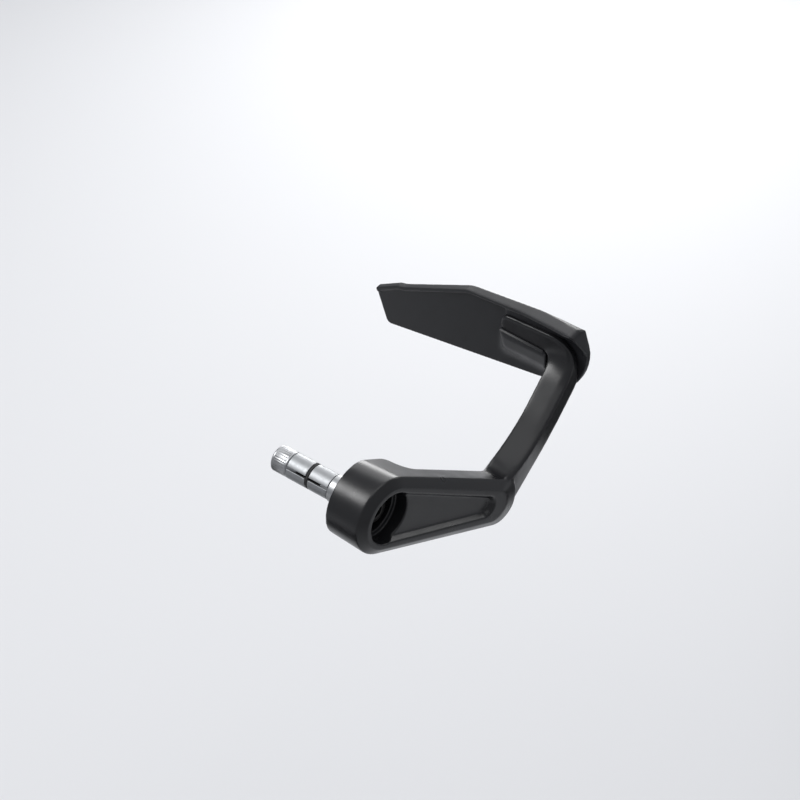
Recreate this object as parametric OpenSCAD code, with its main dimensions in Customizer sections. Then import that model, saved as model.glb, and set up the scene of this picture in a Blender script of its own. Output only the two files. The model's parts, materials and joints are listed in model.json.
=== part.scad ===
// Lever guard for a handlebar end: a die-cast arm that runs forward from the bar end,
// a moulded wind deflector across its front, and the expanding anchor that holds it in the bar.
// X points outward along the bar, Y forward and Z up. The origin is the centre of the
// face that seats against the bar end.

/* [Boss] */
// Radius of the boss at the face that seats on the bar end
boss_r = 18.5; // [17:0.25:20]
// Radius of the big end of the arm's outer face, at the foot of its bevel
face_r = 19.6; // [19:0.1:21]
// Distance along the bar axis from the seat to the foot of the bevel
boss_len = 20.8; // [19:0.2:24]
// Radius of the hole that the bolt head sits in
bolt_pocket_r = 13; // [12:0.25:13.5]
// Depth of that hole down to its ledge
ledge_depth = 5; // [3:0.5:7]
// Radius of the hole below the ledge
bolt_well_r = 10.5; // [10:0.25:11]
// Thickness of metal left under the bolt head
boss_floor = 6; // [5:0.5:8]

/* [First arm] */
// Length from the bar axis to the centre of the small end
arm1_len = 86; // [82:1:90]
// Angle that the first arm drops below the horizontal
arm1_drop = 30.7; // [28:0.1:34]
// Angle that the first arm flares away from the bar end
arm1_flare = 8; // [6:0.5:10]
// Radius of the small end
knee_r = 12.4; // [11.8:0.1:13]
// Thickness of the arm below its bevel
arm1_t = 10.4; // [9:0.2:12]
// Draft of the arm's sides over its thickness
arm1_draft = 1.2; // [0.8:0.1:1.6]
// Bevel round the outer face, across the face
bevel_w = 4; // [3:0.5:5]
// Bevel round the outer face, in height
bevel_h = 3.2; // [2.5:0.1:4]
// How far the flat rim stops short of the small end
rim_back = 7; // [5:0.5:8]
// Width of the flat rim
rim_w = 2.6; // [2:0.1:3.2]
// How far the face pocket stops short of the rim
pocket_back = 6.5; // [5:0.5:8]
// Depth of the face pocket
pocket_d = 3; // [2:0.25:3.5]
// Slope of the face pocket's walls
pocket_slope = 1.8; // [1:0.2:2.2]

/* [Second arm] */
// Angle that the second arm rises above the horizontal
arm2_rise = 31.5; // [29:0.5:34]
// Angle that the second arm leans in towards the lever
arm2_lean = 4; // [2:0.5:6]
// Step of its outer face above the centre of the small end
arm2_step = 2; // [1.5:0.25:2.5]
// How far its start lies behind the centre of the small end
arm2_back = 2; // [1:0.25:3]
// Thickness of the second arm
arm2_t = 14; // [13:0.2:15]
// Depth of the second arm
arm2_w = 14.4; // [13.4:0.2:15]
// Length of the second arm before it turns
arm2_len = 64; // [62:1:66]
// Extra depth of the second arm where it leaves the knee
knee_extra = 9.5; // [7:0.5:10]
// Pull of the knee's curves on the first arm, which sets how full the knee is
knee_pull = 9; // [8:0.5:10]
// Pull of the outer curve on the second arm
bend_pull = 5; // [4:0.5:6]
// Pull of the inner curve on the second arm, which sets the fillet in the knee
fillet_pull = 12; // [10:0.5:13]
// Pull of the outer curve where the second arm turns into the tongue
turn_pull = 16; // [14:0.5:17]
// Pull of the inner curve there
inner_pull = 11; // [10:0.5:12]
// Rise of the inner curve over the pad
heel = 0.8; // [0.6:0.1:1]
// Run of the chamfer along its top outer edge
edge_run = 3; // [2:0.25:3.5]
// Fall of that chamfer
edge_fall = 1.3; // [0.8:0.1:2]
// Radius of its lower edges
edge_r = 3; // [2:0.25:4]

/* [Tongue] */
// Forward distance from the bar axis to the back of the tongue
tongue_y = 140; // [139.5:0.25:140.5]
// Thickness of the tongue
tongue_t = 4; // [3.6:0.1:5]
// Height of the tongue's top edge at its root
tongue_top = 6; // [5.5:0.1:6.5]
// Depth of the tongue's bottom edge below the bar axis at its root
tongue_low = 5.4; // [5:0.1:6]
// Angle of its top edge
tongue_top_tilt = 2; // [0:0.25:3]
// Angle of its bottom edge
tongue_low_tilt = 2.6; // [2:0.1:3.5]
// Place of the tongue's tip along the bar axis
tongue_tip_x = -15; // [-16:0.5:-14]
// Radius of the corners of the tip
tip_r = 3.8; // [2:0.2:4.4]

/* [Wind deflector] */
// Thickness of the blade
blade_t = 3.2; // [2.8:0.1:3.6]
// Height of the blade's top edge at its outer end
blade_top = 15.6; // [15:0.1:16.2]
// Height of the blade's top edge at the bend
bend_top = 8.2; // [7:0.2:9]
// Place of the bend in the top edge
bend_x = -37; // [-40:1:-34]
// Place of the inner end's top corner
blade_in_x = -95.6; // [-98:0.2:-93]
// Height of that corner
blade_in_top = -20.6; // [-22:0.1:-20]
// Place of the small kink in the top edge
kink_x = -81.5; // [-83:0.5:-80]
// Height of the top edge at the kink
kink_top = -12.4; // [-12.6:0.1:-12]
// Place of the inner end's bottom corner
low_in_x = -88.4; // [-90:0.2:-86]
// Height of that corner
low_in_z = -41.2; // [-43:0.2:-40]
// Place of the bottom edge's outer end
low_out_x = 22; // [20:0.5:24]
// Height of the bottom edge's outer end
low_out_z = -24.9; // [-26:0.1:-24]
// Place of the outer end's top corner
top_out_x = 29.1; // [28:0.1:30]
// How far the outer end bulges past that corner
end_bulge = 6; // [4:0.25:7]
// Place of the tip of the outer end
tip_x = 26.5; // [26:0.25:28]
// Height of the tip
tip_z = -22.8; // [-24:0.2:-22]
// Reach of the lip behind the blade at its inner end
lip_in = 0.5; // [0.3:0.1:0.8]
// Thickness of the lip along the top and round the outer end
lip_t = 2; // [1.8:0.1:2.4]
// Reach of the lip behind the blade at the outer end
lip_reach = 8; // [7:0.25:8.5]
// Reach of the lip behind the blade at the bend
lip_mid = 1.9; // [1.5:0.1:2.4]
// Where the bevel along the front of the top edge starts
bevel_start_x = 2; // [-5:1:8]
// Run of that bevel at the outer end
front_bevel = 4.4; // [4:0.1:4.8]
// Fall of that bevel at the outer end
front_fall = 2.5; // [2:0.1:2.8]
// How far the pad under the tongue stands behind the blade
pad_reach = 4.8; // [4.2:0.1:5.4]
// Place of the pad's outer side
pad_out_x = 12.6; // [12:0.1:13.4]
// Width of the pad
pad_w = 28; // [26:0.2:29.4]
// Height of the pad from its ledge down to where it runs out
pad_h = 17; // [15:0.5:18]
// Gap between the tongue and the pad's ledge
ledge_gap = 0.1; // [0.05:0.05:0.2]

/* [Deflector screws] */
// Place of the outer screw along the bar axis
screw_out_x = 9; // [8:0.5:10]
// Distance between the two screws
screw_pitch = 16; // [14:0.5:17]
// Radius of the screw thread
screw_r = 2; // [1.5:0.25:2]
// Length of the screw under its head
screw_len = 6; // [5.8:0.1:6.2]
// Radius of the screw head
screw_head_r = 3.8; // [3.6:0.1:4.4]
// Height of the screw head
screw_head_h = 2.2; // [1.8:0.1:2.6]
// Width of its hexagon socket
screw_hex = 2.5; // [2:0.5:3]
// Wall of the sleeve that carries the clamping force through the blade
sleeve_wall = 1.1; // [0.9:0.1:1.3]

/* [Bar-end anchor] */
// Radius of the bolt thread
bolt_r = 4; // [3.9:0.05:4]
// Length of the bolt under its head
bolt_len = 50; // [48:1:55]
// Radius of the bolt head
bolt_head_r = 6.5; // [6:0.25:7]
// Height of the bolt head
bolt_head_h = 8; // [7:0.5:8]
// Width of the bolt's hexagon socket
bolt_hex = 6; // [5:0.5:6]
// Radius of the washer
washer_r = 10; // [9:0.25:10]
// Thickness of the washer
washer_t = 1.6; // [1.2:0.2:2]
// Radius of the bush where it passes through the boss
neck_r = 8; // [7.6:0.1:8.4]
// Radius of the spigot that enters the bar
spigot_r = 6.9; // [6.8:0.05:7]
// Length of the spigot inside the bar
spigot_len = 9; // [8:0.5:10]
// Length of the three expanding wedges
wedge_len = 23.6; // [22:0.2:26]
// Radius of the wedges
wedge_r = 6.5; // [6.4:0.05:6.6]
// Length of the cone at each end of the wedges
cone_len = 5; // [4:0.5:6]
// Radius of the cones where they are widest
cone_r = 5.95; // [5.8:0.05:6]
// Radius of the cones at their tips
cone_tip_r = 4.95; // [4.8:0.05:5.1]
// Width of the slots between the wedges
wedge_slot = 1.2; // [0.8:0.1:1.6]
// Thickness of the ring that holds the wedges together
ring_t = 1.6; // [1.4:0.1:1.8]
// Length of the nut behind its cone
nut_len = 9; // [8:0.5:10]
// Clearance of parts that slide into each other
fit = 0.05; // [0.03:0.01:0.08]

/* [Hidden] */
$fn = 96;
coarse = 48;
black_metal = [0.13, 0.13, 0.14];
grained_plastic = [0.22, 0.23, 0.24];
bright_steel = [0.62, 0.62, 0.64];
skin = 0.01;

// Directions along, across and out of the first arm's face
arm1_dir = [sin(arm1_flare), cos(arm1_flare) * cos(arm1_drop), -cos(arm1_flare) * sin(arm1_drop)];
arm1_up = [0, sin(arm1_drop), cos(arm1_drop)];
arm1_out = cross(arm1_dir, arm1_up);
face_centre = [boss_len, 0, 0];
// The same for the second arm, which starts near the centre of the small end
arm2_dir = [-sin(arm2_lean), cos(arm2_lean) * cos(arm2_rise), cos(arm2_lean) * sin(arm2_rise)];
arm2_up = [0, -sin(arm2_rise), cos(arm2_rise)];
arm2_out = cross(arm2_dir, arm2_up);
knee_centre = face_centre + (arm1_len - arm2_back) * arm1_dir + arm2_step * arm2_out;

function unit(v) = v / norm(v);
function on_arm1(u, v, h) = face_centre + u * arm1_dir + v * arm1_up + h * arm1_out;
function on_arm2(u, v, h) = knee_centre + u * arm2_dir + v * arm2_up + h * arm2_out;
function curve(p, t) = pow(1 - t, 3) * p[0] + 3 * t * pow(1 - t, 2) * p[1]
    + 3 * t * t * (1 - t) * p[2] + t * t * t * p[3];

// Lies a cylinder along the bar axis from x1 to x2
module along_x(x1, x2, r) {
    translate([x1, 0, 0]) rotate([0, 90, 0]) cylinder(h = x2 - x1, r = r);
}
// The same for a cone
module cone_x(x1, x2, r1, r2) {
    translate([x1, 0, 0]) rotate([0, 90, 0]) cylinder(h = x2 - x1, r1 = r1, r2 = r2);
}
// Everything beyond a plane through p with the outward direction n
module beyond(p, n, size) {
    translate(p) rotate([0, acos(n[2]), atan2(n[1], n[0])])
        translate([-size, -size, 0]) cube([2 * size, 2 * size, size]);
}
// Drawing in X and Z, given thickness from y1 forward to y2
module upright(y1, y2) {
    translate([0, y2, 0]) rotate([90, 0, 0]) linear_extrude(y2 - y1) children();
}
module hexagon(width) {
    polygon([for (a = [0:60:300]) width / sqrt(3) * [cos(a), sin(a)]]);
}

// Outline with a big and a small round end, joined by tangents
module teardrop(r1, r2, length) {
    s = (r1 - r2) / length;
    c = sqrt(1 - s * s);
    circle(r1);
    translate([length, 0]) circle(r2);
    polygon([[r1 * s, r1 * c], [length + r2 * s, r2 * c],
        [length + r2 * s, -r2 * c], [r1 * s, -r1 * c]]);
}

// Turns a drawing so that it lies on the first arm's outer face
module on_face() {
    translate(face_centre) rotate([-arm1_drop, 0, 0]) rotate([0, 0, -arm1_flare])
        rotate([90, 0, 90]) children();
}

// Boss and first arm as one tapered body, before its inner side is cut away
module arm1_body() {
    hull() {
        rotate([-arm1_drop, 0, 0]) rotate([90, 0, 90])
            linear_extrude(skin) teardrop(boss_r, knee_r - arm1_draft, arm1_len);
        on_face() translate([0, 0, -skin])
            linear_extrude(skin) teardrop(face_r, knee_r, arm1_len);
        on_face() translate([0, 0, bevel_h - skin])
            linear_extrude(skin) teardrop(face_r - bevel_w, knee_r - bevel_w, arm1_len - rim_back);
    }
}

// What is cut from the inner side of the first arm: the boss ends in a step with two round corners
step_u = 19;
step_r = 3.5;
hollow_r = 8;
function arm1_inner_x(u) = boss_len + u * tan(arm1_flare) - arm1_t / cos(arm1_flare);
module arm1_inner_cut() {
    foot = arm1_inner_x(step_u + hollow_r);
    crown = [for (a = [90:-15:0]) [step_u - step_r + step_r * cos(a), step_r - step_r * sin(a)]];
    foot_arc = [for (a = [180:-15:105]) [step_u + hollow_r + hollow_r * cos(a),
        foot - hollow_r + hollow_r * sin(a)]];
    far = arm1_len + 2 * knee_r;
    before = -step_r;
    rotate([-arm1_drop, 0, 0]) translate([0, 0, -2 * boss_r]) linear_extrude(4 * boss_r)
        mirror([1, -1, 0]) polygon(concat([[step_u - step_r, before]], crown, foot_arc,
            [[step_u + hollow_r, foot], [far, arm1_inner_x(far)], [far, before]]));
}

// Shallow pocket in the outer face, with sloping walls
module face_pocket() {
    r1 = face_r - bevel_w - rim_w;
    r2 = knee_r - bevel_w - rim_w;
    length = arm1_len - rim_back - pocket_back;
    rise = 0.05;
    hull() {
        on_face() translate([0, 0, bevel_h - pocket_d])
            linear_extrude(skin) teardrop(r1 - pocket_slope, r2 - pocket_slope, length);
        on_face() translate([0, 0, bevel_h + rise - skin])
            linear_extrude(skin) teardrop(r1 + rise * pocket_slope / pocket_d,
                r2 + rise * pocket_slope / pocket_d, length);
    }
}

// The second arm and tongue are one swept bar. Two guide curves carry it: its top outer edge
// and its top inner edge. Each station is [outer edge, inner edge, depth].
blade_y = tongue_y + tongue_t;
blade_front = blade_y + blade_t;
root_x = 14;
function tongue_edge(x) = tongue_top - (root_x - x) * tan(tongue_top_tilt);
function ledge_z(x) = -tongue_low + (root_x - x) * tan(tongue_low_tilt);
function tongue_bottom(x) = ledge_z(x) + ledge_gap;
function tongue_mid(x) = (tongue_edge(x) + tongue_bottom(x)) / 2;

// Side of the first arm, and the slight bow of the second arm's two guide curves
function arm1_side(u) = face_r - (face_r - knee_r) * u / arm1_len;
bow_low = -5.3;
bow_outer = 10.2;
outer_run = 28;
outer_end = 40;
bow_inner = 8.4;
inner_run = 36;
inner_end = 53;
function arm2_outer_v(u) = bow_low + bow_outer * pow(max(0, outer_end - u) / outer_run, 2);
function arm2_inner_v(u) = bow_low + 4 * fit + bow_inner * pow(max(0, inner_end - u) / inner_run, 2);

// Where the knee starts on the first arm and ends on the second, and where its extra depth runs out
bend_in = 78;
bend_out = 17;
depth_end = 50;
// The swept bar starts sunk a little into the first arm's outer face, inner face and side
sunk_out = 0.3;
sunk_in = 0.4;
sunk_side = 1.6;
sunk_depth = 2;
slant = 8;
inner_slope = 2 * bow_inner * (inner_end - bend_out) / (inner_run * inner_run);
function ease(s) = s * s * (3 - 2 * s);
knee_outer = [on_arm1(bend_in, arm1_side(bend_in) - sunk_out, -sunk_out),
    on_arm1(bend_in + knee_pull, knee_r - sunk_in, 0),
    on_arm2(bend_out - bend_pull, bend_pull, 0), on_arm2(bend_out, arm2_outer_v(bend_out), 0)];
knee_inner = [on_arm1(bend_in - slant - sunk_depth, arm1_side(bend_in - slant) - sunk_side, sunk_in - arm1_t),
    on_arm1(bend_in, arm1_side(bend_in) - sunk_side, sunk_in - arm1_t),
    on_arm2(bend_out - fillet_pull, arm2_inner_v(bend_out) + fillet_pull * inner_slope, -arm2_t),
    on_arm2(bend_out, arm2_inner_v(bend_out), -arm2_t)];
turn_outer = [on_arm2(arm2_len, arm2_outer_v(arm2_len), 0), on_arm2(arm2_len + turn_pull, bow_low, 0),
    [root_x + turn_pull, tongue_y + fit, tongue_top - 1], [root_x - 1, tongue_y, tongue_edge(root_x - 1)]];
turn_inner = [on_arm2(arm2_len, arm2_inner_v(arm2_len), -arm2_t),
    on_arm2(arm2_len + inner_pull, bow_low, -arm2_t),
    [root_x + 2, tongue_y, tongue_bottom(root_x) + heel], [root_x - 6, tongue_y, tongue_bottom(root_x - 6)]];
stations = concat(
    [for (u = [bend_in - 2 * slant + 2, bend_in - slant + 1]) [on_arm1(u, arm1_side(u) - sunk_out, -sunk_out),
        on_arm1(u - slant, arm1_side(u - slant) - sunk_side, sunk_in - arm1_t), arm2_w - sunk_depth]],
    [for (t = [0:1 / 14:1]) [curve(knee_outer, t), curve(knee_inner, t),
        arm2_w - sunk_depth + (knee_extra + sunk_depth) * (1 - pow(max(0, 1 - t), 1.5))]],
    [for (u = [bend_out + 2.5:2.5:arm2_len - 2]) [on_arm2(u, arm2_outer_v(u), 0),
        on_arm2(u, arm2_inner_v(u), -arm2_t),
        arm2_w + knee_extra * ease(max(0, depth_end - u) / (depth_end - bend_out))]],
    [for (t = [0:1 / 16:1]) [curve(turn_outer, t), curve(turn_inner, t),
        arm2_w + (tongue_t - arm2_w) * ease(t)]],
    [for (x = [4, -5]) [[x, tongue_y, tongue_edge(x)], [x - 2, tongue_y, tongue_bottom(x - 2)], tongue_t]],
    [for (a = [0:15:75]) let (x = tongue_tip_x + tip_r * (1 - sin(a)), drop = tip_r * (1 - cos(a)))
        [[x, tongue_y, tongue_edge(x) - drop], [x, tongue_y, tongue_bottom(x) + drop], tongue_t]]);

// Section of the bar: measured outward and up from the top outer edge
function bar_section(t, w) = let (k = min(1, w / arm2_w), r = edge_r * k,
        run = min(edge_run * (0.4 + 0.6 * k), t * 0.3), fall = edge_fall * (0.4 + 0.6 * k),
        nip = 0.7 * k) concat(
    [[-t + nip, 0], [-run, 0], [-run * 0.35, -fall * 0.45], [0, -fall]],
    [for (a = [0:-22.5:-90]) [-r + r * cos(a), -w + r + r * sin(a)]],
    [for (a = [-90:-30:-180]) [-t + r * 0.6 + r * 0.6 * cos(a), -w + r * 0.6 + r * 0.6 * sin(a)]],
    [[-t, -nip]]);

module swept_bar() {
    n = len(stations);
    k = len(bar_section(arm2_t, arm2_w));
    mid = [for (s = stations) (s[0] + s[1]) / 2];
    points = [for (i = [0:n - 1]) let (
        s = stations[i],
        along = unit(mid[min(i + 1, n - 1)] - mid[max(i - 1, 0)]),
        across = unit(s[0] - s[1]),
        up = unit(cross(across, along)),
        room = (blade_y - max(s[0][1], s[1][1])) / max(skin, -up[1]))
        for (p = bar_section(norm(s[0] - s[1]), min(s[2], room))) s[0] + p[0] * across + p[1] * up];
    sides = [for (i = [0:n - 2]) for (j = [0:k - 1]) let (m = (j + 1) % k)
        [i * k + j, (i + 1) * k + j, (i + 1) * k + m, i * k + m]];
    ends = [[for (j = [0:k - 1]) j], [for (j = [k - 1:-1:0]) (n - 1) * k + j]];
    polyhedron(points, concat(sides, ends), convexity = 6);
}

screw_xs = [screw_out_x, screw_out_x - screw_pitch];
blind_wall = 0.8;
well_x = boss_len + bevel_h - pocket_d - ledge_depth;
mouth_x = boss_len + face_r;
module guard_arm() {
    color(black_metal) difference() {
        union() {
            difference() {
                arm1_body();
                arm1_inner_cut();
            }
            swept_bar();
        }
        face_pocket();
        along_x(well_x, mouth_x, bolt_pocket_r);
        along_x(boss_floor, mouth_x, bolt_well_r);
        along_x(-1, mouth_x, neck_r + fit);
        for (x = screw_xs) translate([x, blade_y + 1, tongue_mid(x)])
            rotate([90, 0, 0]) cylinder(h = tongue_t - blind_wall + 1, r = screw_r + fit);
    }
}

// Points of an outline with its corners rounded; each corner is [x, z, radius]
function rounded(c) = [for (i = [0:len(c) - 1]) let (
    p = [c[i][0], c[i][1]],
    a = let (q = c[(i + len(c) - 1) % len(c)]) unit([q[0], q[1]] - p),
    b = let (q = c[(i + 1) % len(c)]) unit([q[0], q[1]] - p),
    half = acos(a * b) / 2,
    r = c[i][2])
    each r == 0 ? [p] : let (m = p + unit(a + b) * r / sin(half),
        turn = 180 - 2 * half,
        u = p + a * r / tan(half) - m, v = p + b * r / tan(half) - m, n = max(2, ceil(turn / 9)))
        [for (k = [0:n]) m + r * unit(u * sin(turn * (1 - k / n)) + v * sin(turn * k / n))]];
// The same corners moved inward
function inset(c, d) = [for (i = [0:len(c) - 1]) let (
    n = len(c),
    q = [for (k = [-1:1]) let (s = c[(i + n + k) % n]) [s[0], s[1]]],
    e1 = unit(q[1] - q[0]),
    e2 = unit(q[2] - q[1]),
    n1 = [e1[1], -e1[0]], n2 = [e2[1], -e2[0]],
    m = q[1] + d * (n1 + n2) / (1 + n1 * n2))
    [m[0], m[1], max(0, c[i][2] - d)]];

// Blade outline, clockwise from the inner end's bottom corner
kink_run = 4.3;
kink_rise = 1.2;
end_curve = [[top_out_x, blade_top], [top_out_x + end_bulge, blade_top - 10.6],
    [tip_x + end_bulge + 3.1, tip_z + 12.4], [tip_x, tip_z]];
bevel_top = bend_top + (blade_top - bend_top) * (bevel_start_x - bend_x) / (top_out_x - bend_x);
function flat(p) = [p[0], p[1], 0];
blade_corners = concat([[low_in_x, low_in_z, 3], [blade_in_x, blade_in_top, 0.8], [kink_x, kink_top, 3],
    [kink_x + kink_run, kink_top + kink_rise, 8], [bend_x, bend_top, 14], [bevel_start_x, bevel_top, 0],
    [top_out_x, blade_top, 2.5]], [for (t = [0.3:0.1:1]) flat(curve(end_curve, t))],
    [[low_out_x, low_out_z, 0]]);

// Back edge of the lip, seen from above: [place along the bar axis, share of the outer reach]
lip_edge = concat([[blade_in_x - 1, blade_y - lip_in], [bend_x, blade_y - lip_mid],
    [-4, blade_y - lip_mid - 1.3]],
    [for (q = [[8, 0.6], [16, 0.75], [23, 0.9], [27, 1], [top_out_x + end_bulge, 1]])
        [q[0], blade_y - q[1] * lip_reach]]);
module lip() {
    below = 2 * low_in_z;
    behind = blade_y - 2 * lip_reach;
    difference() {
        upright(blade_y - lip_reach, blade_y + skin) difference() {
            polygon(rounded(blade_corners));
            polygon(rounded(inset(blade_corners, lip_t)));
            polygon([[2 * blade_in_x, below], [low_out_x + lip_t, below], [low_out_x + lip_t, 0],
                [bend_x, bend_top - 2 * lip_t], [blade_in_x + lip_t, blade_in_top - lip_t],
                [2 * blade_in_x, blade_in_top - lip_t]]);
        }
        translate([0, 0, below]) linear_extrude(-2 * below)
            polygon(concat([[2 * blade_in_x, blade_y - lip_in]], lip_edge, [[top_out_x + end_bulge, behind],
                [2 * blade_in_x, behind]]));
        translate([top_out_x - end_bulge, 0, 0]) rotate([90, 0, 90]) linear_extrude(3 * end_bulge)
            polygon([[behind, blade_top], [blade_y - lip_reach, blade_top - 1], [blade_y, 0],
                [blade_y, below], [behind, below]]);
    }
}

// Ramp under the tongue: a ledge at its top and a face that runs down into the blade
mark_r = 1.5;
mark_d = 0.3;
module pad() {
    ramp_top = 3.5;
    corner = 2.4;
    difference() {
        intersection() {
            translate([pad_out_x - pad_w, 0, 0]) rotate([90, 0, 90]) linear_extrude(pad_w)
                polygon([[blade_y + skin, 0], [blade_y - pad_reach, 0],
                    [blade_y - pad_reach, ledge_z(0) - ramp_top],
                    [blade_y - pad_reach * 0.72, ledge_z(0) - pad_h * 0.62],
                    [blade_y, ledge_z(0) - pad_h], [blade_y + skin, ledge_z(0) - pad_h]]);
            upright(blade_y - 2 * pad_reach, blade_front) polygon([[-2 * pad_w, ledge_z(-2 * pad_w)],
                [pad_out_x - corner, ledge_z(pad_out_x - corner)],
                [pad_out_x - corner / 4, ledge_z(pad_out_x) - corner / 3],
                [pad_out_x, ledge_z(pad_out_x) - corner], [pad_out_x, -2 * pad_h], [-2 * pad_w, -2 * pad_h]]);
        }
        translate([0, blade_y - pad_reach + mark_d, ledge_z(0) - ramp_top - 2.4]) rotate([90 + 8, 0, 0])
            cylinder(h = pad_reach, r = mark_r);
    }
}

module wind_deflector() {
    bevel_a = [bevel_start_x, blade_front, bevel_top];
    bevel_b = [top_out_x, blade_front, blade_top - front_fall];
    bevel_c = [top_out_x, blade_front - front_bevel, blade_top];
    far = 2 * (top_out_x - blade_in_x);
    color(grained_plastic) difference() {
        union() {
            upright(blade_y, blade_front) polygon(rounded(blade_corners));
            lip();
            pad();
        }
        beyond(bevel_a, unit(cross(bevel_c - bevel_a, bevel_b - bevel_a)), far);
        for (x = screw_xs) translate([x, blade_front + 1, tongue_mid(x)])
            rotate([90, 0, 0]) cylinder(h = blade_t + 2, r = sleeve_r + fit);
    }
}
sleeve_r = screw_r + fit + sleeve_wall;

// Stands a part at a screw's place, its axis pointing back from the blade's front face
module at_screw(x) {
    translate([x, blade_front, tongue_mid(x)]) rotate([90, 0, 0]) children();
}
module deflector_screw(x) {
    $fn = coarse;
    rim_h = 0.8;
    socket_d = 1.4;
    color(bright_steel) at_screw(x) difference() {
        union() {
            cylinder(h = screw_len, r = screw_r);
            translate([0, 0, -rim_h]) cylinder(h = rim_h, r = screw_head_r);
            translate([0, 0, -screw_head_h])
                cylinder(h = screw_head_h - rim_h, r1 = screw_head_r * 0.55, r2 = screw_head_r);
        }
        translate([0, 0, -screw_head_h - 1]) linear_extrude(socket_d + 1) hexagon(screw_hex);
    }
}
module screw_sleeve(x) {
    $fn = coarse;
    color(bright_steel) at_screw(x) difference() {
        cylinder(h = blade_t, r = sleeve_r);
        translate([0, 0, -1]) cylinder(h = blade_t + 2, r = screw_r + fit);
    }
}
module deflector_screw_outer() { deflector_screw(screw_xs[0]); }
module deflector_screw_inner() { deflector_screw(screw_xs[1]); }
module screw_sleeve_outer() { screw_sleeve(screw_xs[0]); }
module screw_sleeve_inner() { screw_sleeve(screw_xs[1]); }

head_x = boss_floor + washer_t;
module bar_end_bolt() {
    edge = 0.6;
    socket_d = 4;
    color(black_metal) difference() {
        union() {
            along_x(head_x - bolt_len, head_x, bolt_r);
            along_x(head_x, head_x + bolt_head_h - edge, bolt_head_r);
            cone_x(head_x + bolt_head_h - edge, head_x + bolt_head_h, bolt_head_r, bolt_head_r - edge);
        }
        translate([head_x + bolt_head_h - socket_d, 0, 0]) rotate([90, 0, 90])
            linear_extrude(socket_d + 1) hexagon(bolt_hex);
    }
}
module bolt_washer() {
    $fn = coarse;
    color(bright_steel) difference() {
        along_x(boss_floor, boss_floor + washer_t, washer_r);
        along_x(boss_floor - 1, boss_floor + washer_t + 1, bolt_r + 4 * fit);
    }
}

wedge_turn = 360 / 3;
// Inner parts of the anchor: the bolt draws the nut's cone and the bush's cone into the wedges
bush_flush = 0.2;
wedge_x = -spigot_len - (cone_len / 20);
nut_x = wedge_x - wedge_len - (cone_len / 20);
module spigot_bush() {
    $fn = coarse;
    color(bright_steel) difference() {
        union() {
            along_x(0, boss_floor - bush_flush, neck_r);
            along_x(-spigot_len, skin, spigot_r);
            cone_x(-spigot_len - cone_len, -spigot_len + skin, cone_tip_r, cone_r);
        }
        along_x(-spigot_len - cone_len - 1, boss_floor + 1, bolt_r + 2 * fit);
    }
}
module wedge(turn) {
    $fn = coarse;
    spread = 2 * wedge_r;
    color(black_metal) rotate([turn, 0, 0]) intersection() {
        difference() {
            along_x(wedge_x - wedge_len, wedge_x, wedge_r);
            along_x(wedge_x - wedge_len - 1, wedge_x + 1, bolt_r + 10 * fit);
            cone_x(-spigot_len - cone_len, -spigot_len, cone_tip_r + fit, cone_r + fit);
            cone_x(nut_x, nut_x + cone_len, cone_r + fit, cone_tip_r + fit);
            translate([wedge_x - wedge_len / 2, 0, 0]) rotate([0, 90, 0]) rotate_extrude()
                translate([wedge_r - ring_t / 2, 0]) union() {
                    circle(ring_t / 2 + fit, $fn = coarse / 3);
                    translate([0, -ring_t / 2 - fit]) square([ring_t, ring_t + 2 * fit]);
                }
        }
        translate([wedge_x - wedge_len - 1, 0, wedge_slot / sqrt(3)]) rotate([90, 0, 90])
            linear_extrude(wedge_len + 2) polygon([[0, 0], spread * [sin(60), cos(60)], [0, 2 * spread],
                spread * [-sin(60), cos(60)]]);
    }
}
module wedge_upper() { wedge(0); }
module wedge_front() { wedge(-wedge_turn); }
module wedge_rear() { wedge(wedge_turn); }
module wedge_ring() {
    color([0.05, 0.05, 0.05]) translate([wedge_x - wedge_len / 2, 0, 0]) rotate([0, 90, 0])
        rotate_extrude($fn = coarse) translate([wedge_r - ring_t / 2, 0])
            circle(ring_t / 2, $fn = coarse / 3);
}
module cone_nut() {
    $fn = coarse;
    color(bright_steel) difference() {
        union() {
            along_x(nut_x - nut_len, nut_x + skin, wedge_r - fit);
            cone_x(nut_x, nut_x + cone_len, cone_r, cone_tip_r);
        }
        along_x(nut_x - nut_len - 1, nut_x + cone_len + 1, bolt_r + fit);
    }
}

guard_arm();
wind_deflector();
deflector_screw_outer();
deflector_screw_inner();
screw_sleeve_outer();
screw_sleeve_inner();
bar_end_bolt();
bolt_washer();
spigot_bush();
wedge_upper();
wedge_front();
wedge_rear();
wedge_ring();
cone_nut();
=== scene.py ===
# Brake lever guard: a black powder-coated arm of cast aluminium, a grained plastic wind deflector
# screwed to its tongue, and the expanding anchor that holds the guard in the end of a tube.
# Everything is in metres, X outward along the anchor, Y forward, Z up.
import json
import math

import bmesh
import bpy
from mathutils import Matrix, Vector

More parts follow.
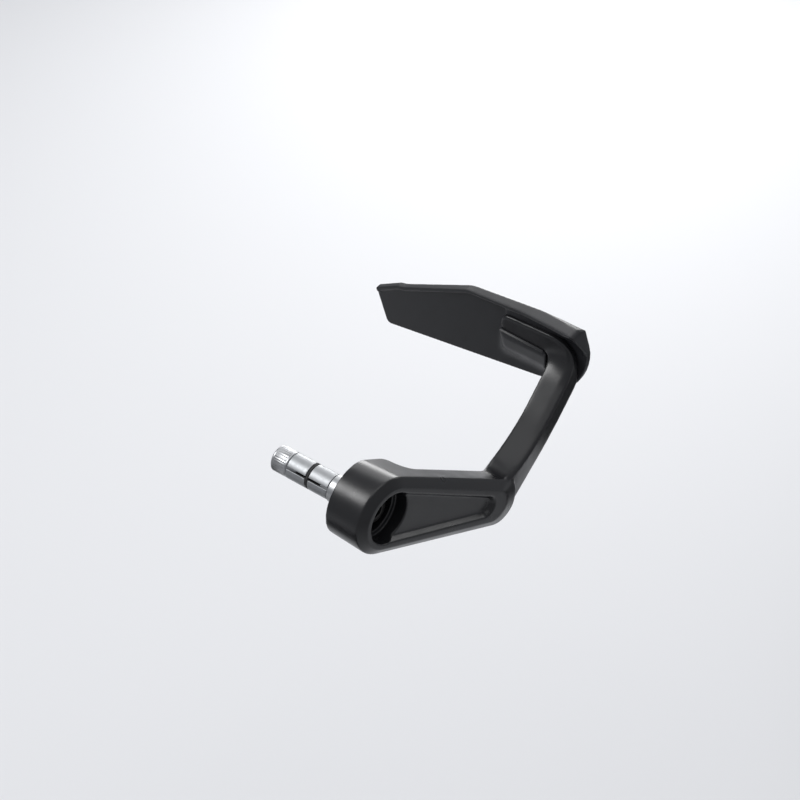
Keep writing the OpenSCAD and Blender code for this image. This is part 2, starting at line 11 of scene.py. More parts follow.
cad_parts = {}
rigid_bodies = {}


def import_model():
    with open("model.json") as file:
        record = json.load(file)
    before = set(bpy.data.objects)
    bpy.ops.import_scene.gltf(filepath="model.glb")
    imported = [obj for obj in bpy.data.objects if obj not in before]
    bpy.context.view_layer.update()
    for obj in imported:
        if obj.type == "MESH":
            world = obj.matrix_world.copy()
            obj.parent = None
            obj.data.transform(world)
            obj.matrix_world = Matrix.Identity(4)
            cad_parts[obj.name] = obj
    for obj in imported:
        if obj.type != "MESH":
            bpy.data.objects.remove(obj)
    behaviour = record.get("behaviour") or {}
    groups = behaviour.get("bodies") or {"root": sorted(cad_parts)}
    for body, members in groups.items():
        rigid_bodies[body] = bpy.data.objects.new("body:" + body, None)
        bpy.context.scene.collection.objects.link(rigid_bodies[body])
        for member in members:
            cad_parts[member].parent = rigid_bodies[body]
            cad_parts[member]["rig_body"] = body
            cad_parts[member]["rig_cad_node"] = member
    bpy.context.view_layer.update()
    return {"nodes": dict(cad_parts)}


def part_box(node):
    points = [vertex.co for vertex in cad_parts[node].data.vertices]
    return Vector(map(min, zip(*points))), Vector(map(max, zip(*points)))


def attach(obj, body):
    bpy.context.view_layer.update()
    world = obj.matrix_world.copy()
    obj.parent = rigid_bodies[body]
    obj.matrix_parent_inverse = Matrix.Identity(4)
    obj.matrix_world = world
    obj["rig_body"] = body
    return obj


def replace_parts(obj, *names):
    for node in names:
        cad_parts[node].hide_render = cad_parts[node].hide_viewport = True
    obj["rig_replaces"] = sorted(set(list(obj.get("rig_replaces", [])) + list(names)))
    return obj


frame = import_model()
mm = 0.001


# Camera. It looks down at the guard from outside and behind the boss, as the photograph does,
# through a long lens. Azimuth turns it about the vertical and elevation tips it down.
camera_azimuth = 36.99
camera_elevation = 42.79
camera_place = Vector((461.75, -575.53, 742.26)) * mm
camera = bpy.data.objects.new("camera", bpy.data.cameras.new("camera"))
bpy.context.scene.collection.objects.link(camera)
camera.location = camera_place
camera.rotation_euler = (math.radians(90 - camera_elevation), 0, math.radians(camera_azimuth))
camera.data.sensor_width = 36
camera.data.lens = 103.5
camera.data.clip_end = 20
bpy.context.scene.camera = camera


# Arm. One aluminium casting: boss, pocketed first arm, knee, swept second arm and tongue.
# It is fettled, so its edges are soft, and powder coated satin black all over, the bore too.
merge_gap = 0.001 * mm
smooth_pull = 0.5


def deselect_all():
    if bpy.context.object and bpy.context.object.mode != "OBJECT":
        bpy.ops.object.mode_set(mode="OBJECT")
    bpy.ops.object.select_all(action="DESELECT")


def make_active(piece):
    deselect_all()
    piece.select_set(True)
    bpy.context.view_layer.objects.active = piece


def apply_place():
    """Puts the active piece's place, turn and size into its mesh."""
    bpy.ops.object.transform_apply(location=True, rotation=True, scale=True)


def apply_modifier(piece, kind, **settings):
    make_active(piece)
    modifier = piece.modifiers.new(kind.lower(), kind)
    for name, value in settings.items():
        setattr(modifier, name, value)
    bpy.ops.object.modifier_apply(modifier=modifier.name)


def join_into(piece, *others):
    make_active(piece)
    for other in others:
        other.select_set(True)
    bpy.ops.object.join()


def cut_away(piece, cutter):
    """Takes the cutter's shape out of a piece, and puts the cutter away."""
    apply_modifier(piece, "BOOLEAN", object=cutter, operation="DIFFERENCE", solver="EXACT")
    bpy.data.objects.remove(cutter)


def block(name, low, high):
    """A plain block between two corners in mm, a start for a fill or a strip."""
    deselect_all()
    low, high = Vector(low), Vector(high)
    bpy.ops.mesh.primitive_cube_add(size=1, location=(low + high) / 2 * mm,
                                    scale=(high - low) * mm)
    piece = bpy.context.object
    piece.name = name
    apply_place()
    return piece


def pick(piece, wanted):
    """Selects the corners of a piece, in edit mode, for which wanted says yes."""
    make_active(piece)
    bpy.ops.object.mode_set(mode="EDIT")
    bpy.ops.mesh.select_mode(type="VERT")
    bpy.ops.mesh.select_all(action="DESELECT")
    mesh = bmesh.from_edit_mesh(piece.data)
    for corner in mesh.verts:
        corner.select = wanted(corner)
    mesh.select_flush(True)
    bmesh.update_edit_mesh(piece.data)


def shift_corners(piece, wanted, shift_x=0, shift_y=0):
    """Moves the corners for which wanted says yes by a shift in mm."""
    pick(piece, wanted)
    bpy.ops.transform.translate(value=(shift_x * mm, shift_y * mm, 0))
    bpy.ops.object.mode_set(mode="OBJECT")


def own_copy(original, name):
    """A copy with a mesh of its own, which doesn't yet ride on or stand for anything."""
    piece = original.copy()
    piece.data = original.data.copy()
    piece.name = name
    piece.parent = None
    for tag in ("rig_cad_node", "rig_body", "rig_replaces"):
        if tag in piece:
            del piece[tag]
    bpy.context.scene.collection.objects.link(piece)
    return piece


def smooth_where(piece, passes, share):
    """Smooths each corner of a piece by the share, 0 to 1, which share gives for it."""
    group = piece.vertex_groups.new(name="worn")
    mesh = bmesh.new()
    mesh.from_mesh(piece.data)
    mesh.normal_update()
    held = {}
    for corner in mesh.verts:
        held.setdefault(round(share(corner), 2), []).append(corner.index)
    mesh.free()
    for weight, corners in held.items():
        if weight > 0:
            group.add(corners, weight, "REPLACE")
    apply_modifier(piece, "SMOOTH", factor=smooth_pull, iterations=passes, vertex_group="worn")
    piece.vertex_groups.clear()


def iron_faces(piece, limit, passes):
    """Smooths what bends by less than limit degrees and leaves the rounded edges as they are."""
    bend = math.cos(math.radians(limit))

    def share(corner):
        return 1.0 if min(corner.normal.dot(f.normal) for f in corner.link_faces) > bend else 0.0

    smooth_where(piece, passes, share)


def soften(piece, start, end, reach, passes):
    """Works a corner round along a line, most on the line and not at all past its reach."""
    start, run = Vector(start) * mm, (Vector(end) - Vector(start)) * mm

    def share(corner):
        along = max(0.0, min(1.0, (corner.co - start).dot(run) / run.length_squared))
        far = (corner.co - start - run * along).length / (reach * mm)
        return 0.0 if far >= 1 else (1 - far * far) ** 2

    smooth_where(piece, passes, share)


def cast_from(node, name, grid, passes, most_faces, corners=(), fills=()):
    """A copy of a solid with its edges and inner corners worn round, as moulds leave them."""
    piece = own_copy(frame["nodes"][node], name)
    make_active(piece)
    bpy.ops.object.mode_set(mode="EDIT")
    bpy.ops.mesh.select_all(action="SELECT")
    bpy.ops.mesh.remove_doubles(threshold=merge_gap)
    bpy.ops.object.mode_set(mode="OBJECT")
    if fills:
        join_into(piece, *fills)
    apply_modifier(piece, "REMESH", mode="VOXEL", voxel_size=grid * mm, adaptivity=0)
    apply_modifier(piece, "SMOOTH", factor=smooth_pull, iterations=passes)
    iron_faces(piece, limit=4, passes=3 * passes)
    for corner in corners:
        soften(piece, **corner)
    faces = 2 * len(piece.data.polygons)
    if faces > most_faces:
        apply_modifier(piece, "DECIMATE", ratio=most_faces / faces)
    make_active(piece)
    bpy.ops.object.shade_smooth()
    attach(piece, "root")
    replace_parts(piece, node)
    return piece


def group_node(tree, group, **inputs):
    node = tree.nodes.new("ShaderNodeGroup")
    node.node_tree = group
    for name, value in inputs.items():
        node.inputs[name.replace("_", " ")].default_value = value
    return node


def new_group(name, inputs, outputs):
    tree = bpy.data.node_groups.new(name, "ShaderNodeTree")
    for label, kind, value in inputs:
        socket = tree.interface.new_socket(name=label, in_out="INPUT", socket_type=kind)
        if value is not None:
            socket.default_value = value
    for label, kind in outputs:
        tree.interface.new_socket(name=label, in_out="OUTPUT", socket_type=kind)
    return tree, tree.nodes.new("NodeGroupInput"), tree.nodes.new("NodeGroupOutput")


# Fine unevenness of a moulded or sprayed skin: soft large swell under a fine grain
skin_grain, given, result = new_group(
    "skin grain",
    [("Vector", "NodeSocketVector", None), ("Grain", "NodeSocketFloat", 1500.0),
     ("Swell", "NodeSocketFloat", 120.0), ("Swell Share", "NodeSocketFloat", 0.3)],
    [("Height", "NodeSocketFloat"), ("Patch", "NodeSocketFloat")])
fine = skin_grain.nodes.new("ShaderNodeTexNoise")
fine.inputs["Detail"].default_value = 2.0
broad = skin_grain.nodes.new("ShaderNodeTexNoise")
broad.inputs["Detail"].default_value = 3.0
blend = skin_grain.nodes.new("ShaderNodeMix")
for source, target in (
        (given.outputs["Vector"], fine.inputs["Vector"]),
        (given.outputs["Grain"], fine.inputs["Scale"]),
        (given.outputs["Vector"], broad.inputs["Vector"]),
        (given.outputs["Swell"], broad.inputs["Scale"]),
        (given.outputs["Swell Share"], blend.inputs["Factor"]),
        (fine.outputs["Fac"], blend.inputs["A"]),
        (broad.outputs["Fac"], blend.inputs["B"]),
        (blend.outputs["Result"], result.inputs["Height"]),
        (broad.outputs["Fac"], result.inputs["Patch"])):
    skin_grain.links.new(source, target)


def coated(name, dark, light, rough_low, rough_high, grain, swell, depth, shine=0.5):
    """A painted or moulded finish: two close tones in patches, uneven roughness, fine relief."""
    material = bpy.data.materials.new(name)
    material.use_nodes = True
    tree = material.node_tree
    shader = tree.nodes["Principled BSDF"]
    shader.inputs["Specular IOR Level"].default_value = shine
    place = tree.nodes.new("ShaderNodeTexCoord")
    skin = group_node(tree, skin_grain, Grain=grain, Swell=swell)
    tree.links.new(place.outputs["Object"], skin.inputs["Vector"])
    tone = tree.nodes.new("ShaderNodeMix")
    tone.data_type = "RGBA"
    tone.inputs["A"].default_value = (*dark, 1)
    tone.inputs["B"].default_value = (*light, 1)
    tree.links.new(skin.outputs["Patch"], tone.inputs["Factor"])
    tree.links.new(tone.outputs["Result"], shader.inputs["Base Color"])
    gloss = tree.nodes.new("ShaderNodeMapRange")
    gloss.inputs["From Min"].default_value = 0.3
    gloss.inputs["From Max"].default_value = 0.7
    gloss.inputs["To Min"].default_value = rough_low
    gloss.inputs["To Max"].default_value = rough_high
    tree.links.new(skin.outputs["Patch"], gloss.inputs["Value"])
    tree.links.new(gloss.outputs["Result"], shader.inputs["Roughness"])
    relief = tree.nodes.new("ShaderNodeBump")
    relief.inputs["Distance"].default_value = depth * mm
    relief.inputs["Strength"].default_value = 1.0
    tree.links.new(skin.outputs["Height"], relief.inputs["Height"])
    tree.links.new(relief.outputs["Normal"], shader.inputs["Normal"])
    return material


def finish_with(piece, material):
    piece.data.materials.clear()
    piece.data.materials.append(material)


powder_black = coated(
    "satin_black_powder_coat", dark=(0.0075, 0.0077, 0.009), light=(0.011, 0.0112, 0.0125),
    rough_low=0.27, rough_high=0.34, grain=1400, swell=90, depth=0.008, shine=0.45)

# The web of the knee, where the two arms meet: a block whose rear inner edge slants outwards,
# hollowed by a fillet that runs out towards the outer face
web_low, web_high, web_slant = Vector((19.5, 69.3, -34)), Vector((32, 87.1, -25)), 3.1
web = block("web", web_low, web_high)
web_mid = (web_low + web_high) / 2 * mm
shift_corners(web, lambda c: c.co.x < web_mid.x and c.co.y < web_mid.y, shift_x=web_slant)
fillet_r, fillet_length, fillet_tilt = 27, 60, 7
fillet_x, fillet_y, fillet_z = 22, 85.1, -3.9
deselect_all()
bpy.ops.mesh.primitive_cylinder_add(
    vertices=160, radius=fillet_r * mm, depth=fillet_length * mm,
    location=(fillet_x * mm, fillet_y * mm, fillet_z * mm),
    rotation=(0, math.radians(90 + fillet_tilt), 0))
cut_away(web, bpy.context.object)

# Inner corners that the casting leaves rounder than its edges, as lines in mm
knee_web = dict(start=(20, 78, -31), end=(28, 77, -31), reach=7, passes=60)
knee_rib = dict(start=(34.4, 80, -36), end=(34.8, 86, -48), reach=5, passes=60)
pocket_end = dict(start=(31, 64.5, -37.5), end=(31, 66, -44), reach=4, passes=50)
arm = cast_from("guard_arm", "cast_arm", grid=0.35, passes=16, most_faces=190000,
                corners=(knee_web, knee_rib, pocket_end), fills=(web,))
finish_with(arm, powder_black)


# Wind deflector. One moulding in black glass-filled nylon with a fine spark-eroded grain: blade,
# lip along the top and round the outer end, and the ramp below the tongue.
grained_black = coated(
    "grained_black_nylon", dark=(0.011, 0.0115, 0.0135), light=(0.016, 0.0165, 0.019),
    rough_low=0.36, rough_high=0.44, grain=2400, swell=140, depth=0.012, shine=0.34)

# The land above the tongue closes the slot below the lip and thins towards the outer end
land_low, land_high, land_slant = Vector((-13.5, 141.3, 5.4)), Vector((26, 144.6, 10)), 1.8
land = block("land", land_low, land_high)
land_mid = (land_low + land_high) / 2 * mm
shift_corners(land, lambda c: c.co.x > land_mid.x and c.co.y < land_mid.y, shift_y=land_slant)

outer_end = dict(start=(24, 143, 14.5), end=(32, 143.5, 6), reach=7, passes=90)
ramp_side = dict(start=(-15.4, 141.5, -10), end=(-15.4, 143.5, -21), reach=6, passes=300)
ramp_fold = dict(start=(-14, 140.6, -15.5), end=(12, 140.6, -15.5), reach=5, passes=90)
ramp_foot = dict(start=(-14, 144, -21.5), end=(11, 144, -21.5), reach=6, passes=240)
deflector = cast_from("wind_deflector", "moulded_deflector", grid=0.34, passes=9,
                      most_faces=190000, corners=(outer_end, ramp_side, ramp_fold, ramp_foot),
                      fills=(land,))

# The ramp's rim: a narrow slanted strip along its top that catches the light, turned down at the
# outer corner. Slant and fall are in degrees, about the strip's length and across it.
ramp_drop, ramp_run = 5.34 - 4.08, 28
ramp_fall = math.degrees(math.atan2(ramp_drop, ramp_run))
rim_edge = 0.16
rim = block("rim", (-15, -0.75, -1.3), (10.6, 0.55, 0))
corner_rim = block("corner_rim", (-0.9, -0.75, -8), (0.3, 0.9, 0))
for strip, slant, fall, place in ((rim, 35, ramp_fall, (0, 139.5, -4.75)),
                                  (corner_rim, -4, -6, (12.4, 139.6, -6.4))):
    make_active(strip)
    strip.rotation_euler = (math.radians(slant), math.radians(fall), 0)
    strip.location = Vector(place) * mm
    apply_place()
    apply_modifier(strip, "BEVEL", width=rim_edge * mm, segments=2, limit_method="ANGLE")
    bpy.ops.object.shade_smooth_by_angle(angle=math.radians(30))
join_into(deflector, rim, corner_rim)
finish_with(deflector, grained_black)


# Anchor bolt. A steel socket head cap screw, cold formed, with a knurled head, a rolled thread
# and a black oxide finish. It is dropped into the boss and screwed into the cone nut.
knurl_sides = 72
thread_depth = 0.6  # as a share of the pitch


def close_up(gap):
    """Merges corners nearer than gap, closes the open ends and turns every face outwards."""
    bpy.ops.mesh.select_all(action="SELECT")
    bpy.ops.mesh.remove_doubles(threshold=gap)
    bpy.ops.mesh.select_all(action="DESELECT")
    bpy.ops.mesh.select_non_manifold()
    bpy.ops.mesh.edge_face_add()
    bpy.ops.mesh.select_all(action="SELECT")
    bpy.ops.mesh.normals_make_consistent(inside=False)
    bpy.ops.object.mode_set(mode="OBJECT")


def turned(name, rings, sides):
    """A turned part along X, drawn out ring by ring; each ring is its place and radius in mm."""
    deselect_all()
    first_x, first_r = rings[0]
    bpy.ops.mesh.primitive_circle_add(vertices=sides, radius=first_r * mm,
                                      location=(first_x * mm, 0, 0), rotation=(0, math.pi / 2, 0))
    piece = bpy.context.object
    piece.name = name
    apply_place()
    bpy.ops.object.mode_set(mode="EDIT")
    bpy.ops.mesh.select_all(action="SELECT")
    for (x0, r0), (x1, r1) in zip(rings, rings[1:]):
        bpy.ops.mesh.extrude_region_move(TRANSFORM_OT_translate={"value": ((x1 - x0) * mm, 0, 0)})
        if r1 != r0:
            bpy.ops.transform.resize(value=(1, r1 / r0, r1 / r0), center_override=(x1 * mm, 0, 0))
    close_up(merge_gap)
    return piece


def pull_in(piece, wanted, share):
    """Draws the corners for which wanted says yes in towards the X axis."""
    pick(piece, wanted)
    bpy.ops.transform.resize(value=(1, share, share), center_override=(0, 0, 0))
    bpy.ops.object.mode_set(mode="OBJECT")


def knurl(piece, from_r, share):
    """A straight knurl: every second line of what stands out past from_r is pressed in."""
    step = 360 / knurl_sides

    def pressed(corner):
        line = round(math.degrees(math.atan2(corner.co.z, corner.co.y)) / step)
        return corner.co.yz.length > from_r * mm and line % 2 == 0

    pull_in(piece, pressed, share)


def cut_hexagon(piece, mouth_x, depth, width, through=1.0):
    """A broached hexagon socket, open at mouth_x towards +X."""
    deselect_all()
    bpy.ops.mesh.primitive_cylinder_add(
        vertices=6, radius=width / math.sqrt(3) * mm, depth=(depth + through) * mm,
        location=((mouth_x - depth / 2 + through / 2) * mm, 0, 0), rotation=(0, math.pi / 2, 0))
    cut_away(piece, bpy.context.object)


def rolled_thread(start_x, end_x, crest, pitch):
    """The ridge of a right-hand thread between two places on the X axis."""
    ridge_r = thread_depth * pitch * 2 / 3
    deselect_all()
    bpy.ops.mesh.primitive_circle_add(
        vertices=3, radius=ridge_r * mm, fill_type="NOTHING",
        location=(start_x * mm, 0, (crest - ridge_r) * mm), rotation=(math.pi / 2, 0, 0))
    ridge = bpy.context.object
    ridge.name = "thread"
    apply_place()
    apply_modifier(ridge, "SCREW", axis="X", angle=2 * math.pi, screw_offset=pitch * mm,
                   iterations=int((end_x - start_x) / pitch), steps=28, render_steps=28)
    make_active(ridge)
    bpy.ops.object.mode_set(mode="EDIT")
    close_up(2 * merge_gap)
    return ridge


def ease_edges(piece, width, angle, steps=2):
    """Breaks the edges that are sharper than an angle in degrees, by a width in mm."""
    apply_modifier(piece, "BEVEL", width=width * mm, segments=steps, limit_method="ANGLE",
                   angle_limit=math.radians(angle), use_clamp_overlap=True)
    make_active(piece)
    bpy.ops.object.shade_smooth_by_angle(angle=math.radians(40))


def metal(name, dark, light, rough_low, rough_high, marks, depth):
    """A bare or plated metal finish with fine turning marks round the X axis."""
    material = coated(name, dark, light, rough_low, rough_high, grain=1200, swell=260, depth=depth)
    tree = material.node_tree
    tree.nodes["Principled BSDF"].inputs["Metallic"].default_value = 1.0
    place = next(n for n in tree.nodes if n.type == "TEX_COORD")
    skin = next(n for n in tree.nodes if n.type == "GROUP")
    along = tree.nodes.new("ShaderNodeMapping")
    along.inputs["Scale"].default_value = (marks, 1, 1)
    tree.links.new(place.outputs["Object"], along.inputs["Vector"])
    tree.links.new(along.outputs["Vector"], skin.inputs["Vector"])
    return material


bolt_low, bolt_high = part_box("bar_end_bolt")
bolt_tip, bolt_top = bolt_low.x / mm, bolt_high.x / mm
head_r, head_h, shank_r, thread_pitch, plain_shank = 6.5, 8.0, 4.0, 1.25, 16
core_r = shank_r - thread_depth * thread_pitch + 0.05
seat_x = bolt_top - head_h
point, under_head, knurl_slope = 0.7, 0.5, 0.15
knurl_from, knurl_to = seat_x + under_head, bolt_top - 1.4
band_r = head_r - 0.12
bolt = turned("cap_screw", [
    (bolt_tip, core_r - point), (bolt_tip + point, core_r), (seat_x - 0.01, core_r),
    (seat_x, head_r - under_head), (knurl_from, head_r - 0.1), (knurl_from + knurl_slope, head_r),
    (knurl_to, head_r), (knurl_to + knurl_slope, band_r), (bolt_top - 0.45, band_r),
    (bolt_top, head_r - 0.7)], sides=knurl_sides)
knurl(bolt, from_r=head_r - 0.05, share=0.972)
cut_hexagon(bolt, bolt_top, depth=4.0, width=6.0)
ease_edges(bolt, width=0.12, angle=38)
join_into(bolt, rolled_thread(bolt_tip + 0.6, seat_x - plain_shank, shank_r, thread_pitch))
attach(bolt, "root")
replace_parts(bolt, "bar_end_bolt")
black_oxide = metal(
    "black_oxide_steel", dark=(0.035, 0.034, 0.034), light=(0.055, 0.053, 0.052),
    rough_low=0.34, rough_high=0.5, marks=3, depth=0.004)
finish_with(bolt, black_oxide)


# Washer. Blanked from steel sheet, one edge drawn round by the punch and the other sharp, and
# blackened like the bolt.
washer_low, washer_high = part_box("bolt_washer")
washer_back, washer_face = washer_low.x / mm, washer_high.x / mm
washer_r, washer_hole = washer_high.z / mm, 4.2
sharp_edge, drawn_edge, hole_edge = 0.12, 0.4, 0.3
washer = turned("flat_washer", [
    (washer_back, washer_hole), (washer_back, washer_r - 0.15),
    (washer_back + sharp_edge, washer_r), (washer_face - drawn_edge, washer_r),
    (washer_face - 0.12, washer_r - 0.12), (washer_face, washer_r - 0.45),
    (washer_face, washer_hole + hole_edge), (washer_face - hole_edge, washer_hole),
    (washer_back, washer_hole)], sides=72)
ease_edges(washer, width=0.06, angle=25)
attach(washer, "root")
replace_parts(washer, "bolt_washer")
finish_with(washer, black_oxide)


# Bush. Turned from aluminium bar and left bright: a neck that centres it in the boss, a shouldered
# spigot that fills the mouth of the tube, and a cone that spreads the wedges.
bush_low, bush_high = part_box("spigot_bush")
neck_x, cone_tip_x = bush_high.x / mm, bush_low.x / mm
neck_r, spigot_r, spigot_end, bush_bore = 8.0, 6.9, -9.0, 4.1
cone_base_r, cone_tip_r = 5.95, 4.95
turned_edge, bore_edge, relief_end = 0.4, 0.3, -0.8
lip, lip_base_r, lip_tip_r = 0.2, cone_tip_r + 0.04, cone_tip_r - 0.16
bush = turned("spigot", [
    (neck_x, bush_bore), (neck_x, neck_r - turned_edge), (neck_x - turned_edge, neck_r),
    (0, neck_r), (0, spigot_r - 0.01), (relief_end, spigot_r - 0.01), (relief_end - 0.1, spigot_r),
    (spigot_end + turned_edge, spigot_r), (spigot_end, spigot_r - turned_edge),
    (spigot_end, cone_base_r), (cone_tip_x + lip, lip_base_r), (cone_tip_x, lip_tip_r),
    (cone_tip_x, bush_bore + bore_edge), (cone_tip_x + bore_edge, bush_bore),
    (neck_x, bush_bore)], sides=80)
ease_edges(bush, width=0.1, angle=20)
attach(bush, "root")
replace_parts(bush, "spigot_bush")
bright_aluminium = metal(
    "turned_aluminium", dark=(0.38, 0.39, 0.4), light=(0.46, 0.465, 0.47),
    rough_low=0.34, rough_high=0.46, marks=14, depth=0.006)
finish_with(bush, bright_aluminium)


# Wedges. Three sectors sawn from one machined aluminium sleeve, with the saw's edges broken. The
# two cones push them apart until they grip the bore of the tube.
def copy_of(piece, name, node, place):
    """Another piece of the same shape, with a mesh of its own, moved or turned by place."""
    twin = own_copy(piece, name)
    twin.matrix_world = place
    make_active(twin)
    apply_place()
    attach(twin, "root")
    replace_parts(twin, node)


wedge_turn = math.radians(120)
machined_aluminium = metal(
    "machined_aluminium", dark=(0.32, 0.33, 0.34), light=(0.4, 0.41, 0.42),
    rough_low=0.42, rough_high=0.55, marks=8, depth=0.005)
wedge = cast_from("wedge_upper", "wedge_top", grid=0.19, passes=3, most_faces=40000)
finish_with(wedge, machined_aluminium)
copy_of(wedge, "wedge_fore", "wedge_front", Matrix.Rotation(-wedge_turn, 4, "X"))
copy_of(wedge, "wedge_aft", "wedge_rear", Matrix.Rotation(wedge_turn, 4, "X"))


# Ring. A rubber ring in the groove round the wedges, which keeps them closed until they are
# spread. Its mould leaves a fine line round the outside, with a shallow step on either side.
ring_low, ring_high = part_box("wedge_ring")
ring_x = (ring_low.x + ring_high.x) / 2
ring_half = (ring_high.x - ring_low.x) / 2
step_inner, step_outer = ring_high.z - 0.06 * mm, ring_high.z - 0.03 * mm
deselect_all()
bpy.ops.mesh.primitive_torus_add(
    major_segments=96, minor_segments=20, major_radius=ring_high.z - ring_half,
    minor_radius=ring_half, location=(ring_x, 0, 0), rotation=(0, math.pi / 2, 0))
ring = bpy.context.object
ring.name = "rubber_ring"
apply_place()
pull_in(ring, lambda c: step_inner < c.co.yz.length < step_outer, share=0.994)
bpy.ops.object.shade_smooth()
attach(ring, "root")
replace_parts(ring, "wedge_ring")
rubber = coated(
    "black_rubber", dark=(0.012, 0.012, 0.012), light=(0.02, 0.02, 0.02),
    rough_low=0.6, rough_high=0.75, grain=2600, swell=400, depth=0.006)
finish_with(ring, rubber)


# Cone nut. Turned steel, zinc plated, with a straight knurl on the body that keeps it from
# spinning in the tube while the bolt is tightened. Its cone matches the bush's.
nut_low, nut_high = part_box("cone_nut")
nut_end, nut_tip, body_r = nut_low.x / mm, nut_high.x / mm, nut_high.z / mm
nut_bore, cone_length, plain_r = 4.05, 5, body_r - 0.05
cone_at = nut_tip - cone_length
end_edge, shoulder, bore_mouth = 0.6, 0.4, 0.5
nut = turned("cone_nut_knurled", [
    (nut_end, nut_bore + bore_mouth), (nut_end, body_r - end_edge), (nut_end + end_edge, plain_r),
    (nut_end + 1.2, plain_r), (nut_end + 1.35, body_r), (cone_at - 1.3, body_r),
    (cone_at - 1.15, plain_r), (cone_at - shoulder, plain_r), (cone_at, body_r - shoulder),
    (cone_at, cone_base_r), (nut_tip - lip, lip_base_r), (nut_tip, lip_tip_r),
    (nut_tip, nut_bore + 0.4), (nut_tip - 0.4, nut_bore), (nut_end + bore_mouth, nut_bore),
    (nut_end, nut_bore + bore_mouth)], sides=knurl_sides)
knurl(nut, from_r=body_r - 0.02, share=0.965)
ease_edges(nut, width=0.06, angle=30, steps=1)
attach(nut, "root")
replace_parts(nut, "cone_nut")
zinc_plate = metal(
    "zinc_plate", dark=(0.34, 0.345, 0.35), light=(0.42, 0.425, 0.44),
    rough_low=0.3, rough_high=0.45, marks=3, depth=0.003)
finish_with(nut, zinc_plate)


# Deflector screws and sleeves. Two button head screws, cold formed and blackened, driven through
# plated steel sleeves into the tongue, so that they clamp metal to metal and spare the nylon.
head_round = [(0, 3.78), (0.35, 3.8), (0.8, 3.68), (1.3, 3.3), (1.75, 2.75), (2.05, 2.2),
              (2.2, 1.75)]
button_h = head_round[-1][0]
screw_low, screw_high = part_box("deflector_screw_outer")
screw_len = (screw_high.y - screw_low.y) / mm - button_h
screw_r, screw_pitch, screw_point, neck_fall = 2.0, 0.7, 0.4, 0.6
screw_core = screw_r - thread_depth * screw_pitch + 0.04
neck_width = screw_r - 0.02
screw = turned("button_screw_outer", [
    (-screw_len, screw_core - screw_point), (screw_point - screw_len, screw_core),
    (-neck_fall, screw_core), (-0.5, neck_width), (0, neck_width)] + head_round, sides=64)
cut_hexagon(screw, button_h, depth=1.4, width=2.5)
ease_edges(screw, width=0.07, angle=38)
join_into(screw, rolled_thread(screw_point - screw_len, -0.9, screw_r, screw_pitch))
screw_seat = ((screw_low.x + screw_high.x) / 2, screw_high.y - button_h * mm,
              (screw_low.z + screw_high.z) / 2)
screw.matrix_world = Matrix.Translation(screw_seat) @ Matrix.Rotation(math.pi / 2, 4, "Z")
make_active(screw)
apply_place()
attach(screw, "root")
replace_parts(screw, "deflector_screw_outer")
finish_with(screw, black_oxide)
inner_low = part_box("deflector_screw_inner")[0]
copy_of(screw, "button_screw_inner", "deflector_screw_inner",
        Matrix.Translation(inner_low - screw_low))
for node in ("screw_sleeve_outer", "screw_sleeve_inner"):
    frame["nodes"][node].data.materials.clear()
    frame["nodes"][node].data.materials.append(zinc_plate)


# Studio. A pale floor well below the guard, a broad ceiling light, two panels ahead, of which the
# low one draws the bright line along the boss, a small panel for the pocket, a softbox behind,
# and even pale air all round.
floor_level, floor_size, card_level = -0.4, 8, -0.38


def paint(name, tone, rough):
    material = bpy.data.materials.new(name)
    material.use_nodes = True
    shader = material.node_tree.nodes["Principled BSDF"]
    shader.inputs["Base Color"].default_value = (*tone, 1)
    shader.inputs["Roughness"].default_value = rough
    return material


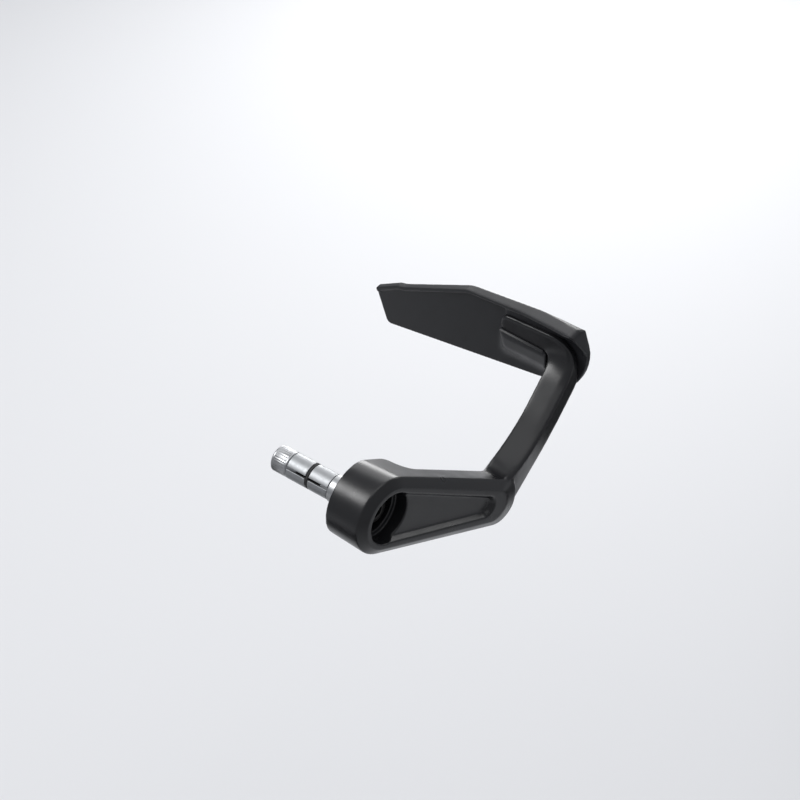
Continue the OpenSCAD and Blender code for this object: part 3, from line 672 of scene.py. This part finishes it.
def sheet(name, place, width, length, turn, material):
    """A flat sheet of the studio, turned by degrees about the vertical."""
    deselect_all()
    bpy.ops.mesh.primitive_plane_add(size=1, location=place, rotation=(0, 0, math.radians(turn)))
    piece = bpy.context.object
    piece.name = name
    bpy.ops.transform.resize(value=(width, length, 1), orient_type="LOCAL")
    piece.data.materials.append(material)
    return piece


sheet("floor", (0, 0, floor_level), floor_size, floor_size, 0,
      paint("pale_floor", (0.71, 0.715, 0.73), 0.7))

# Two black cards lie beside the guard, out of the picture. One keeps the floor's glare off the
# outer faces, the other off the back of the boss and of the blade.
card_black = paint("card_black", (0.01, 0.01, 0.01), 0.9)
for name, x, y, width, length, turn in (("outer_card", 0.24, 0.54, 0.36, 0.36, 25),
                                        ("rear_card", -0.1, -0.37, 0.44, 0.46, 0)):
    card = sheet(name, (x, y, card_level), width, length, turn, card_black)
    card.visible_camera = False


def softbox(name, place, aim, width, height, power):
    """A panel light, out of the camera's sight, that faces aim. The power is in watts."""
    lamp = bpy.data.lights.new(name, "AREA")
    lamp.shape = "RECTANGLE"
    lamp.size = width
    lamp.size_y = height
    lamp.energy = power
    light = bpy.data.objects.new(name, lamp)
    bpy.context.scene.collection.objects.link(light)
    light.location = place
    light.visible_camera = False
    light.rotation_euler = (Vector(aim) - Vector(place)).to_track_quat("-Z", "Y").to_euler()


softbox("ahead_panel", (-0.56, 1.08, 0.04), (0, 0.06, 0), width=0.5, height=0.44, power=4.4)
softbox("pocket_panel", (0.28, 1.05, 0.36), (0.03, 0.03, -0.03), width=0.35, height=0.22,
        power=0.8)
softbox("front_panel", (-0.6, 0.95, 0.62), (0, 0.08, 0), width=0.9, height=0.5, power=2.6)
softbox("rear_softbox", (-0.78, -0.44, 0.88), (0, 0, 0), width=0.6, height=0.42, power=9)
softbox("ceiling", (0.1, 0.3, 1.5), (0.1, 0.3, 0), width=1.5, height=1.5, power=7.5)

surround = bpy.data.worlds.new("pale_air")
bpy.context.scene.world = surround
surround.use_nodes = True
pale_air = surround.node_tree.nodes["Background"]
pale_air.inputs["Color"].default_value = (0.93, 0.95, 1, 1)
pale_air.inputs["Strength"].default_value = 0.4

bpy.context.scene.view_settings.view_transform = "Standard"
